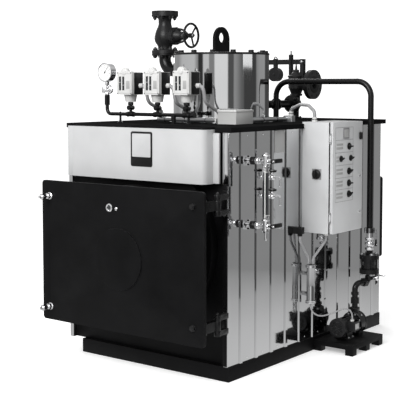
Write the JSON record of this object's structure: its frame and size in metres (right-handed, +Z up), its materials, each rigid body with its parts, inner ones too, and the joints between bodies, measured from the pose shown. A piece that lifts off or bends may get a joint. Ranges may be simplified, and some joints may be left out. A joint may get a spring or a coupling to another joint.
{
  "type": "horizontal shell steam boiler",
  "caption": "Horizontal shell steam boiler with ribbed stainless casing, swing front door, steam dome, relief valve, level gauge, control box and feed pump.",
  "frame": {"origin": "on the ground under the middle of the casing, on the skid's underside", "axes": "+X to the boiler's right (gauge and pump side), +Y to the rear (flue), +Z up"},
  "size_m": [1.718, 2.67, 2.414],
  "materials": {
    "black_enamel": "satin",
    "stainless": "mirror to satin sheet",
    "hood_enamel": "satin",
    "grey_steel": "satin",
    "bright_metal": "polished",
    "cast_grey": "painted casting",
    "box_enamel": "satin powder coat",
    "motor_enamel": "gloss",
    "white_plastic": "semi-gloss",
    "black_plastic": "matte",
    "cable_sheath": "matte sheath",
    "refractory": "refractory board"
  },
  "bodies": {
    "boiler": {"cable_conduit": "stainless", "casing_front_sheet": "black_enamel", "casing_gland": "black_plastic", "casing_panel_left": "stainless", "casing_panel_rear": "stainless", "casing_panel_right": "stainless", "casing_top_plate": "black_enamel", "control_box": "box_enamel", "control_cables": "cable_sheath", "door_clamp_posts": "black_enamel", "door_hinge_brackets": "grey_steel", "door_landing_ring": "black_enamel", "feed_check_valve": "black_enamel", "feed_lower_pipe": "grey_steel", "feed_pipe": "grey_steel", "feed_stop_valve": "bright_metal", "flexible_conduits": "cable_sheath", "flue_spigot": "black_enamel", "front_hood": "hood_enamel", "furnace_tube": "grey_steel", "junction_box": "box_enamel", "level_gauge_cocks": "bright_metal", "level_gauge_column": "bright_metal", "lifting_eye": "black_enamel", "motor_terminal_box": "motor_enamel", "panel_hinges": "grey_steel", "pressure_gauge": "bright_metal", "pressure_manifold": "black_enamel", "pressure_switch_left": "white_plastic", "pressure_switch_middle": "white_plastic", "pressure_switch_right": "white_plastic", "pump_cable": "cable_sheath", "pump_casing": "black_enamel", "pump_motor": "motor_enamel", "pump_platform": "black_enamel", "rear_smoke_box": "black_enamel", "safety_branch": "black_enamel", "safety_valve_body": "cast_grey", "skid_base": "black_enamel", "steam_dome": "stainless", "steam_outlet_elbow": "black_enamel", "steam_outlet_flange": "cast_grey", "steam_valve_body": "cast_grey", "test_cocks": "bright_metal", "top_conduits": "grey_steel", "vessel_end_plate": "black_enamel"},
    "front_door": {"front_door": "black_enamel", "door_insulation": "refractory", "door_hinge_arms": "grey_steel", "door_clamp_bolts": "bright_metal"},
    "panel_leaf": {"panel_door": "box_enamel"},
    "steam_wheel": {"steam_valve_handwheel": "black_enamel"},
    "relief_lever": {"safety_lever": "cast_grey"},
    "feed_lever": {"feed_valve_lever": "black_plastic"},
    "gauge_lever_low": {"gauge_lever_lower": "black_plastic"},
    "gauge_lever_high": {"gauge_lever_upper": "black_plastic"}
  },
  "joints": [
    {"name": "front_door_hinge", "type": "hinge", "parent": "boiler", "child": "front_door", "pos_m": [0.69, -1.11, 0.7435], "axis": [0, 0, 1], "range_deg": [0, 110]},
    {"name": "panel_door_hinge", "type": "hinge", "parent": "boiler", "child": "panel_leaf", "pos_m": [0.911, -0.142, 1.2345], "axis": [0, 0, -1], "range_deg": [0, 110]},
    {"name": "steam_wheel_turn", "type": "hinge", "parent": "boiler", "child": "steam_wheel", "pos_m": [-0.275, -0.141, 2.227], "axis": [1, 0, 0], "continuous": true},
    {"name": "relief_lever_lift", "type": "hinge", "parent": "boiler", "child": "relief_lever", "pos_m": [0.061, 0.865, 2.048], "axis": [0, 1, 0], "range_deg": [0, 12]},
    {"name": "feed_lever_turn", "type": "hinge", "parent": "boiler", "child": "feed_lever", "pos_m": [0.9263, 0.48, 0.716], "axis": [1, 0, 0], "range_deg": [0, 90]},
    {"name": "gauge_lever_low_turn", "type": "hinge", "parent": "boiler", "child": "gauge_lever_low", "pos_m": [0.8763, -0.8, 0.979], "axis": [-1, 0, 0], "range_deg": [0, 90]},
    {"name": "gauge_lever_high_turn", "type": "hinge", "parent": "boiler", "child": "gauge_lever_high", "pos_m": [0.8763, -0.8, 1.387], "axis": [-1, 0, 0], "range_deg": [0, 90]}
  ]
}
